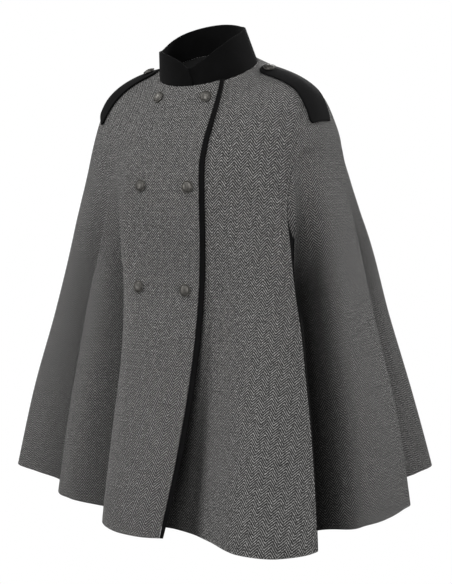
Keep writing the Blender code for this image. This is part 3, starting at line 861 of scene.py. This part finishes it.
def shell_mesh(name, outer, inner, materials, flat=None, lined_rows=0):
    """Closed mesh from an outer and an inner grid, with the cut as its UV map."""
    rows, columns = outer.shape[:2]
    count = rows * columns
    vertices = np.concatenate([outer.reshape(-1, 3), inner.reshape(-1, 3)])
    face = grid_faces(rows, columns)
    back = [tuple(count + corners[turn] for turn in (0, 3, 2, 1)) for corners in face]
    rim = rim_faces(rows, columns)
    mesh = smooth_mesh(name, vertices, face + back + rim, materials)
    lined = [1 if number // (columns - 1) < lined_rows else 0 for number in range(len(back))]
    slots = [0] * len(face) + lined + [0] * len(rim)
    mesh.polygons.foreach_set("material_index", slots)
    if flat is not None:
        cut = np.concatenate([flat.reshape(-1, 2), flat.reshape(-1, 2)])
        corners = np.zeros(len(mesh.loops), dtype=np.int32)
        mesh.loops.foreach_get("vertex_index", corners)
        layer = mesh.uv_layers.new(name="weave")
        layer.data.foreach_set("uv", cut[corners].ravel())
    mesh.validate()
    return mesh


def flattened(points, grain_column, first_row):
    """Lay a grid of cloth out flat with Blender's unwrap, its grain line upright."""
    rows, columns = points.shape[:2]
    mesh = bpy.data.meshes.new("cut")
    mesh.from_pydata(points.reshape(-1, 3).tolist(), [], grid_faces(rows, columns))
    mesh.uv_layers.new(name="cut")
    piece = add_object("cut", mesh)
    bpy.context.view_layer.objects.active = piece
    bpy.ops.object.mode_set(mode="EDIT")
    bpy.ops.mesh.select_all(action="SELECT")
    bpy.ops.uv.unwrap(method="CONFORMAL", margin=0.0)
    bpy.ops.object.mode_set(mode="OBJECT")
    corners = np.zeros(len(mesh.loops), dtype=np.int32)
    mesh.loops.foreach_get("vertex_index", corners)
    places = np.zeros(len(mesh.loops) * 2)
    mesh.uv_layers["cut"].data.foreach_get("uv", places)
    flat = np.zeros((rows * columns, 2))
    flat[corners] = places.reshape(-1, 2)
    bpy.data.objects.remove(piece, do_unlink=True)
    bpy.data.meshes.remove(mesh)
    flat = flat.reshape(rows, columns, 2)
    grain = flat[first_row, grain_column] - flat[-1, grain_column]
    length = lengths_along(points[None, first_row:, grain_column], 1)[0, -1]
    scale = length / np.linalg.norm(grain)
    up = grain / np.linalg.norm(grain)
    right = np.array([up[1], -up[0]])
    middle = flat[-1, grain_column]
    from_middle = (flat - middle) * scale
    laid = np.stack([from_middle @ right, from_middle @ up], axis=-1)
    if laid[-1, -1, 0] < laid[-1, 0, 0]:
        laid[..., 0] = -laid[..., 0]
    return laid


def make_panel(panel, materials):
    """Make one cloth panel as a fine closed shell with rounded edges."""
    angles, along = panel_grid(panel)
    outer = cloth_point(panel, angles, along)
    normal = surface_normal(angles, along)
    outer = outer + normal * crease_height(outer)[..., None]
    wall_angles = angles.copy()
    first, last = panel_edges(panel, along[:, 0])
    own = slit_open(along[:, 0])
    wall_angles[:, 0] = first + (angles[:, 0] - first) * own
    wall_angles[:, -1] = last + (angles[:, -1] - last) * own
    inner = outer - surface_normal(wall_angles, along) * WALL
    from_first = lengths_along(outer, 1)
    from_top = lengths_along(outer, 0)
    from_hem = from_top[-1:, :] - from_top
    first_round = FREE_EDGE_ROUND if panel == "front_left" else SEAM_EDGE_ROUND
    drop = fallen(
        (from_first, first_round),
        (from_first[:, -1:] - from_first, SEAM_EDGE_ROUND),
        (from_top, SEAM_EDGE_ROUND),
        (from_hem, FREE_EDGE_ROUND),
    )
    outer = outer - normal * drop[..., None]
    inner = inner + normal * drop[..., None]
    grain_column = GRAIN_SHARE[panel] * (outer.shape[1] - 1)
    first_row = int(outer.shape[0] * GRAIN_FROM)
    flat = flattened(outer, int(round(grain_column)), first_row)
    lined_rows = np.searchsorted(-from_hem[:, 0], -HEM_TURN_UP)
    mesh = shell_mesh("cloth_" + panel, outer, inner, materials, flat, lined_rows)
    # Painted shade and highlight, kept on the points for the tweed's colour
    deep = painted_shading_share(panel, angles, along).ravel()
    shade = mesh.attributes.new("hollow", "FLOAT", "POINT")
    shade.data.foreach_set("value", np.concatenate([deep, deep]))
    return link("cloth_" + panel, mesh, panel), outer, normal, flat


def make_edge_strip(material):
    """Make the dark strip sewn to the front edge that shows."""
    per_metre = 1.0 / CLOTH_LENGTH
    places = spread_places(0.0, 1.0, PANEL_ROWS, per_metre, per_metre)
    edge_line = FULL_TURN + edge_angle(places)
    at_edge = np.repeat(edge_line[:, None], STRIP_COLUMNS, axis=1)
    along = np.repeat(places[:, None], STRIP_COLUMNS, axis=1)
    edge = cloth_point("front_right", at_edge, along)
    across = unit(edge - cloth_point("front_right", at_edge - STRIP_LOOK_BACK, along))
    normal = surface_normal(at_edge, along)
    shares = smooth_step(0.0, 1.0, np.linspace(0.0, 1.0, STRIP_COLUMNS))
    full = line_value(STRIP_WIDTHS, places)[:, None]
    width = SEAM_GAP + full * shares[None, :]
    outer = edge + across * width[..., None]
    from_edge = full * (1.0 - shares[None, :])
    from_seam = full * shares[None, :]
    from_end = np.minimum(along, 1.0 - along) * CLOTH_LENGTH
    drop = fallen(
        (from_edge, FREE_EDGE_ROUND),
        (from_seam, SEAM_EDGE_ROUND),
        (from_end, FREE_EDGE_ROUND),
    )
    inner = outer - normal * (WALL - drop)[..., None]
    outer = outer - normal * drop[..., None]
    mesh = shell_mesh("black_edge", outer, inner, [material])
    return link("black_edge", mesh, "edge_strip")


def make_collar(material):
    """Make the stand collar, its two ends lapped at the front."""
    angles = np.linspace(COLLAR[0][0], COLLAR[-1][0], COLLAR_STATIONS)
    height = table_column(COLLAR_COLUMNS, COLLAR, "height", angles)[:, None]
    inset = table_column(COLLAR_COLUMNS, COLLAR, "inset", angles)[:, None]
    lift = OVERLAP_LIFT * table_column(COLLAR_COLUMNS, COLLAR, "lift", angles)[:, None]
    neckline, cloth_normal = ring_surface(angles, np.zeros_like(angles))
    below, _ = ring_surface(angles, np.full_like(angles, ALONG_STEP))
    down = unit(below - neckline)
    outward = unit(neckline * np.array([1.0, 1.0, 0.0]))
    base = neckline - down * SEAM_GAP + cloth_normal * lift - outward * inset
    forward = np.array([0.0, -1.0, 0.0])
    upward = np.array([0.0, 0.0, 1.0])
    tilt = np.minimum(height / COLLAR_FULL_HEIGHT, 1.0)
    lean = (forward * COLLAR_FORWARD - outward * COLLAR_LEAN_IN) * tilt
    levels = 1.0 - smooth_step(0.0, 1.0, np.linspace(0.0, 1.0, COLLAR_ROWS))
    outer = np.stack([base + (upward * height + lean) * level for level in levels])
    foot = unit(outward + cloth_normal)
    wall = np.stack([
        unit(outward * (1.0 - foot_share) + foot * foot_share)
        for foot_share in 1.0 - smooth_step(0.0, COLLAR_FOOT_SHARE, levels)
    ])
    from_top = (1.0 - levels)[:, None] * height[:, 0][None, :]
    from_foot = levels[:, None] * height[:, 0][None, :]
    drop = fallen(
        (from_top, FREE_EDGE_ROUND),
        (from_foot, SEAM_EDGE_ROUND),
        (from_nearer_end(outer, 1), FREE_EDGE_ROUND),
    )
    inner = outer - wall * (WALL - drop)[..., None]
    outer = outer - wall * drop[..., None]
    mesh = shell_mesh("black_collar", outer, inner, [material])
    return link("black_collar", mesh, "collar")


def make_strap(side, material):
    """Make one shoulder strap, lying on the shoulder."""
    shares = np.linspace(0.0, 1.0, STRAP_ROWS)
    close_at_ends = smooth_step(0.0, 1.0, shares)
    shares = STRAP_EVEN_SHARE * shares + (1.0 - STRAP_EVEN_SHARE) * close_at_ends
    places = STRAP[0][0] + (STRAP[-1][0] - STRAP[0][0]) * shares
    middle = table_column(STRAP_COLUMNS, STRAP, side + "_angle", places)
    half = table_column(STRAP_COLUMNS, STRAP, "half_width", places)
    spread = np.degrees(np.arctan2(half, ring_value("half_width", places)))
    across = np.sin(np.linspace(-0.5, 0.5, STRAP_POINTS_ACROSS) * math.pi)
    angles = middle[:, None] + spread[:, None] * across[None, :]
    places = STRAP[0][0] + (places - STRAP[0][0]) * STRAP_REACH[side]
    along = np.repeat(places[:, None], STRAP_POINTS_ACROSS, axis=1)
    if side == "right":
        angles = -angles[:, ::-1]
    point, normal = ring_surface(angles, along)
    from_side = half[:, None] * (1.0 - np.abs(across))[None, :]
    half_thick = STRAP_THICKNESS / 2.0
    drop = fallen((from_side, half_thick), (from_nearer_end(point, 0), half_thick))
    inner = point + normal * (STRAP_CLEARANCE + drop)[..., None]
    outer = point + normal * (STRAP_CLEARANCE + STRAP_THICKNESS - drop)[..., None]
    name = "black_strap_" + side
    mesh = shell_mesh(name, outer, inner, [material])
    return link(name, mesh, "strap_" + side)


def make_button(name, place, normal, material):
    """Make one domed button, lying flat with its face along the normal."""
    side = unit(np.cross(np.array([0.0, 0.0, 1.0]), normal))
    up = np.cross(normal, side)
    vertices = []
    ages = []
    for share, height, age in BUTTON_PROFILE:
        for segment in range(BUTTON_SEGMENTS):
            turn = 2.0 * math.pi * segment / BUTTON_SEGMENTS
            spoke = side * math.cos(turn) + up * math.sin(turn)
            vertices.append(place + spoke * BUTTON_RADIUS * share + normal * height)
            ages.append(age)
    faces = ring_faces(0, len(BUTTON_PROFILE), BUTTON_SEGMENTS)
    mesh = smooth_mesh("metal_" + name, vertices, faces, [material])
    shade = mesh.attributes.new("age", "FLOAT", "POINT")
    shade.data.foreach_set("value", ages)
    return link("metal_" + name, mesh, name)


def angle_at_x(wanted_x, along):
    """Cloth angle on the body form where the cloth is wanted_x from the middle."""
    low, high = BUTTON_SEARCH
    angles = FULL_TURN + np.linspace(low, high, int((high - low) / ANGLE_STEP) + 1)
    x = folded_point(angles, np.full_like(angles, along))[:, 0]
    return float(np.interp(wanted_x, x, angles))


def make_front_buttons(material):
    """Make the two columns of front buttons."""
    for row, along in enumerate(BUTTON_ROWS_ALONG, start=1):
        for side, x in (("right", -BUTTON_COLUMN_X), ("left", BUTTON_COLUMN_X)):
            angle = np.array([angle_at_x(x, along)])
            place_along = np.array([along])
            point = cloth_point("front_right", angle, place_along)[0]
            normal = surface_normal(angle, place_along)[0]
            place = point + normal * BUTTON_CLEARANCE
            make_button("button_%s_%d" % (side, row), place, normal, material)


def make_strap_button(side, material):
    """Make the button near the neck end of a shoulder strap."""
    middle = STRAP_BUTTON_ANGLE if side == "left" else -STRAP_BUTTON_ANGLE
    point, normal = ring_surface(np.array([middle]), np.array([STRAP_BUTTON_ALONG]))
    above = STRAP_CLEARANCE + STRAP_THICKNESS + BUTTON_CLEARANCE
    make_button("button_strap_" + side, point[0] + normal[0] * above, normal[0], material)


class Nodes:
    """Short ways to add and join shader nodes."""

    def __init__(self, name):
        self.material = bpy.data.materials.new(name)
        self.material.use_nodes = True
        self.tree = self.material.node_tree
        self.shader = self.tree.nodes["Principled BSDF"]

    def join(self, source, target):
        """Join an output, or set a plain value."""
        if isinstance(source, (int, float, tuple)):
            target.default_value = source
        else:
            self.tree.links.new(source, target)

    def add(self, kind, **values):
        """Add a node, each input set or joined, with a low line for a space in its name."""
        node = self.tree.nodes.new("ShaderNode" + kind)
        for name, value in values.items():
            self.join(value, node.inputs[name.replace("_", " ")])
        return node

    def attribute(self, name):
        """Value kept on the points of the mesh."""
        node = self.add("Attribute")
        node.attribute_name = name
        return node.outputs["Fac"]

    def colour(self, colour):
        """Give the shader its colour."""
        self.join(colour, self.shader.inputs["Base Color"])

    def maths(self, operation, *values):
        """One maths node."""
        node = self.add("Math")
        node.operation = operation
        for place, value in enumerate(values):
            self.join(value, node.inputs[place])
        return node.outputs[0]

    def noise(self, vector, scale, detail=2.0, roughness=0.5):
        """Noise between 0 and 1, in cycles per metre."""
        node = self.add(
            "TexNoise", Vector=vector, Scale=scale, Detail=detail, Roughness=roughness
        )
        return node.outputs["Fac"]

    def stretched(self, vector, scale):
        """A vector times another."""
        node = self.add("VectorMath")
        node.operation = "MULTIPLY"
        self.join(vector, node.inputs[0])
        self.join(scale, node.inputs[1])
        return node.outputs[0]

    def ranged(self, value, low, high, to_low, to_high):
        """Map a value from one range to another, smoothly at both ends."""
        node = self.add(
            "MapRange", Value=value, From_Min=low, From_Max=high, To_Min=to_low, To_Max=to_high
        )
        node.interpolation_type = "SMOOTHSTEP"
        return node.outputs["Result"]

    def mixed(self, share, first, second):
        """Mix two colours."""
        node = self.add("Mix")
        node.data_type = "RGBA"
        self.join(share, node.inputs["Factor"])
        colours = [socket for socket in node.inputs if socket.type == "RGBA"]
        self.join(first, colours[0])
        self.join(second, colours[1])
        return [socket for socket in node.outputs if socket.type == "RGBA"][0]

    def bump(self, height, strength, distance):
        """Give the shader a bump."""
        node = self.add("Bump", Strength=strength, Distance=distance, Height=height)
        self.join(node.outputs["Normal"], self.shader.inputs["Normal"])

    def place(self):
        """Position on the object, in metres."""
        return self.add("TexCoord").outputs["Object"]

    def cut(self):
        """Position on the flat cut, in metres."""
        node = self.add("UVMap")
        node.uv_map = "weave"
        return node.outputs["UV"]

    def finish(self, roughness, specular=0.5, sheen=0.0):
        """Set the shader's plain values and give the material."""
        self.shader.inputs["Roughness"].default_value = roughness
        self.shader.inputs["Specular IOR Level"].default_value = specular
        self.shader.inputs["Sheen Weight"].default_value = sheen
        return self.material


def herringbone_material():
    """Grey wool tweed woven in a herringbone of light and dark yarn."""
    nodes = Nodes("herringbone_tweed")
    cut = nodes.cut()
    apart = nodes.add("SeparateXYZ", Vector=cut)
    sway = nodes.maths("SUBTRACT", nodes.noise(cut, SWAY_NOISE, 3.0), 0.5)
    sway = nodes.maths("MULTIPLY", sway, SWAY)
    across = nodes.maths("ADD", apart.outputs[0], sway)
    jitter = nodes.maths("SUBTRACT", nodes.noise(cut, JITTER_NOISE, 2.0), 0.5)
    jitter = nodes.maths("MULTIPLY", jitter, JITTER)
    upward = nodes.maths("ADD", apart.outputs[1], jitter)
    column = nodes.maths("DIVIDE", across, WEAVE_COLUMN)
    zigzag = nodes.maths("PINGPONG", column, 1.0)
    rise = nodes.maths("MULTIPLY", zigzag, WEAVE_COLUMN * WEAVE_SLOPE / WEAVE_PITCH)
    phase = nodes.maths("ADD", nodes.maths("DIVIDE", upward, WEAVE_PITCH), rise)
    wave = nodes.maths("SINE", nodes.maths("MULTIPLY", phase, 2.0 * math.pi))
    yarn_noise = nodes.noise(cut, YARN_NOISE, 3.0, 0.65)
    loose = nodes.maths("MULTIPLY", nodes.maths("SUBTRACT", yarn_noise, 0.5), YARN_LOOSE)
    stripe = nodes.ranged(nodes.maths("ADD", wave, loose), -0.05, 1.05, 0.0, 1.0)
    patch = nodes.noise(cut, PATCH_NOISE, 3.0)
    strength = nodes.ranged(patch, 0.25, 0.8, 0.60, 1.05)
    specks = nodes.ranged(nodes.noise(cut, SPECK_NOISE, 3.0, 0.6), 0.3, 0.7, 0.45, 1.35)
    light = nodes.maths("MULTIPLY", nodes.maths("MULTIPLY", stripe, strength), specks)
    fluff = nodes.ranged(nodes.noise(cut, FLUFF_NOISE, 4.0, 0.7), 0.35, 0.75, 0.03, 0.15)
    amount = nodes.maths("MAXIMUM", light, fluff)
    colour = nodes.mixed(amount, YARN_DARK, YARN_LIGHT)
    # Colour darkened by the hollow attribute: painted shade in fold hollows and beside the lapped
    # front edge, painted highlight on crests where it is below nothing.
    nodes.colour(nodes.stretched(colour, nodes.maths("SUBTRACT", 1.0, nodes.attribute("hollow"))))
    height = nodes.maths("ADD", nodes.maths("MULTIPLY", stripe, 0.6), yarn_noise)
    nodes.bump(height, 0.6, NAP_HEIGHT)
    return nodes.finish(0.95, specular=0.12, sheen=0.03)


def black_wool_material():
    """Smooth black melton wool with a short nap."""
    nodes = Nodes("black_melton")
    place = nodes.place()
    fibres = nodes.noise(place, MELTON_FIBRES, 4.0, 0.65)
    clouds = nodes.noise(place, MELTON_CLOUDS, 3.0)
    amount = nodes.ranged(nodes.maths("ADD", fibres, clouds), 0.7, 1.4, 0.0, 1.0)
    colour = nodes.mixed(amount, *MELTON_COLOURS)
    nodes.colour(colour)
    nodes.bump(fibres, 0.35, 0.0004)
    return nodes.finish(0.9, specular=0.2, sheen=0.03)


def lining_material():
    """Black twill lining of the cloth's inner face."""
    nodes = Nodes("black_lining")
    threads = nodes.noise(nodes.stretched(nodes.place(), LINING_STRETCH), LINING_THREADS, 2.0)
    colour = nodes.mixed(threads, *LINING_COLOURS)
    nodes.colour(colour)
    nodes.bump(threads, 0.2, 0.0002)
    return nodes.finish(0.55)


def thread_material():
    """Dark grey sewing thread."""
    nodes = Nodes("sewing_thread")
    twist = nodes.noise(nodes.place(), THREAD_TWIST, 1.0)
    colour = nodes.mixed(twist, *THREAD_COLOURS)
    nodes.colour(colour)
    return nodes.finish(0.7)


def metal_material():
    """Darkened pewter, bright where it is worn and black in its groove."""
    nodes = Nodes("aged_pewter")
    place = nodes.place()
    spots = nodes.noise(place, METAL_SPOTS, 4.0, 0.7)
    clouds = nodes.noise(place, METAL_CLOUDS, 3.0)
    worn = nodes.ranged(nodes.maths("ADD", spots, clouds), 0.75, 1.3, 0.0, 1.0)
    base = nodes.mixed(worn, *METAL_COLOURS)
    colour = nodes.mixed(nodes.attribute("age"), base, METAL_GROOVE)
    nodes.colour(colour)
    rough = nodes.ranged(worn, 0.0, 1.0, 0.55, 0.40)
    nodes.join(rough, nodes.shader.inputs["Roughness"])
    nodes.bump(spots, 0.25, 0.0003)
    nodes.shader.inputs["Metallic"].default_value = 0.6
    return nodes.material


def point_at(wanted, places, points):
    """Read a line of points at a wanted place along it."""
    return np.array([np.interp(wanted, places, points[:, axis]) for axis in range(3)])


def line_from_edge(points, inset):
    """Line over a grid of cloth at a distance from its first row."""
    lengths = lengths_along(points, 0)
    columns = range(points.shape[1])
    return np.array([point_at(inset, lengths[:, column], points[:, column]) for column in columns])


def stitch_mesh(name, line, normals, material):
    """Make a row of stitches along a line on the cloth."""
    total = lengths_along(line[None], 1)[0]
    count = int((total[-1] - STITCH_GAP) / (STITCH_LENGTH + STITCH_GAP))
    vertices = []
    faces = []
    for number in range(count):
        start = STITCH_GAP + number * (STITCH_LENGTH + STITCH_GAP)
        ends = [point_at(start, total, line), point_at(start + STITCH_LENGTH, total, line)]
        normal = unit(point_at(start + STITCH_LENGTH / 2.0, total, normals))
        way = unit(ends[1] - ends[0])
        side = np.cross(way, normal)
        first = len(vertices)
        for share, thick, height in STITCH_RINGS:
            centre = ends[0] + (ends[1] - ends[0]) * share + normal * height * STITCH_RADIUS
            for turn in range(STITCH_SIDES):
                angle = 2.0 * math.pi * turn / STITCH_SIDES
                spoke = side * math.cos(angle) + normal * math.sin(angle)
                vertices.append(centre + spoke * STITCH_RADIUS * thick)
        faces.extend(ring_faces(first, len(STITCH_RINGS), STITCH_SIDES))
    mesh = smooth_mesh(name, vertices, faces, [material])
    link(name, mesh, None)


def make_camera():
    """Stand the camera at the photograph's viewing angle."""
    turn = math.radians(CAMERA_TURN)
    place = np.array([math.sin(turn), -math.cos(turn), 0.0]) * CAMERA_DISTANCE
    place[2] = CAMERA_HEIGHT
    sideways = np.array([math.cos(turn), math.sin(turn), 0.0])
    aim = sideways * AIM_SHIFT + np.array([0.0, 0.0, AIM_HEIGHT])
    camera = add_object("camera", bpy.data.cameras.new("camera"))
    camera.data.sensor_width = SENSOR
    camera.data.lens = FOCAL_PIXELS / FRAME_HEIGHT_PIXELS * SENSOR
    camera.location = place.tolist()
    camera.rotation_mode = "QUATERNION"
    camera.rotation_quaternion = Vector((aim - place).tolist()).to_track_quat("-Z", "Y")
    bpy.context.scene.camera = camera


def make_lights():
    """Soft studio light and a white surround."""
    aim = Vector(LIGHT_AIM)
    for name, turned, rise, size, power in SOFTBOXES:
        turn = math.radians(turned)
        lift = math.radians(rise)
        level = math.cos(lift)
        away = Vector((level * math.sin(turn), -level * math.cos(turn), math.sin(lift)))
        light = bpy.data.lights.new(name, "AREA")
        light.shape = "DISK"
        light.size = size
        light.energy = power
        box = add_object(name, light)
        box.location = aim + away * LIGHT_DISTANCE
        box.rotation_mode = "QUATERNION"
        box.rotation_quaternion = (-away).to_track_quat("-Z", "Y")
    world = bpy.data.worlds.new("studio")
    bpy.context.scene.world = world
    world.use_nodes = True
    tree = world.node_tree
    ground = tree.nodes["Background"]
    ground.inputs["Color"].default_value = (1.0, 1.0, 1.0, 1.0)
    path = tree.nodes.new("ShaderNodeLightPath")
    strength = tree.nodes.new("ShaderNodeMapRange")
    strength.inputs["To Min"].default_value = WORLD_LIGHT
    strength.inputs["To Max"].default_value = 1.0
    tree.links.new(path.outputs["Is Camera Ray"], strength.inputs["Value"])
    tree.links.new(strength.outputs["Result"], ground.inputs["Strength"])
    bpy.context.scene.view_settings.view_transform = "Standard"


def make_floor():
    """Plain pale floor well below the hem."""
    mesh = bpy.data.meshes.new("floor")
    turns = [2.0 * math.pi * step / FLOOR_SIDES for step in range(FLOOR_SIDES)]
    rim = [
        (FLOOR_RADIUS * math.cos(turn), FLOOR_RADIUS * math.sin(turn), FLOOR_HEIGHT)
        for turn in turns
    ]
    mesh.from_pydata(rim, [], [tuple(range(FLOOR_SIDES))])
    nodes = Nodes("pale_floor")
    nodes.colour(FLOOR_COLOUR)
    mesh.materials.append(nodes.finish(FLOOR_ROUGHNESS))
    add_object("floor", mesh)


def main():
    """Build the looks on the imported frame."""
    make_camera()
    make_lights()
    make_floor()
    tweed = herringbone_material()
    lining = lining_material()
    black = black_wool_material()
    thread = thread_material()
    metal = metal_material()
    for panel in PANEL_COLUMNS:
        piece, outer, normal, flat = make_panel(panel, [tweed, lining])
        line = line_from_edge(outer[::-1], HEM_STITCH_INSET)
        stitch_mesh("stitch_hem_" + panel, line, normal[-1], thread)
        if panel in SEAM_STITCHED:
            first = SEAM_STITCHED[panel]
            sideways = outer.swapaxes(0, 1)
            line = line_from_edge(sideways if first else sideways[::-1], SEAM_STITCH_INSET)
            edge_normal = normal[:, 0 if first else -1]
            stitch_mesh("stitch_seam_" + panel, line, edge_normal, thread)
    make_edge_strip(black)
    make_collar(black)
    for side in ("right", "left"):
        make_strap(side, black)
        make_strap_button(side, metal)
    make_front_buttons(metal)


main()
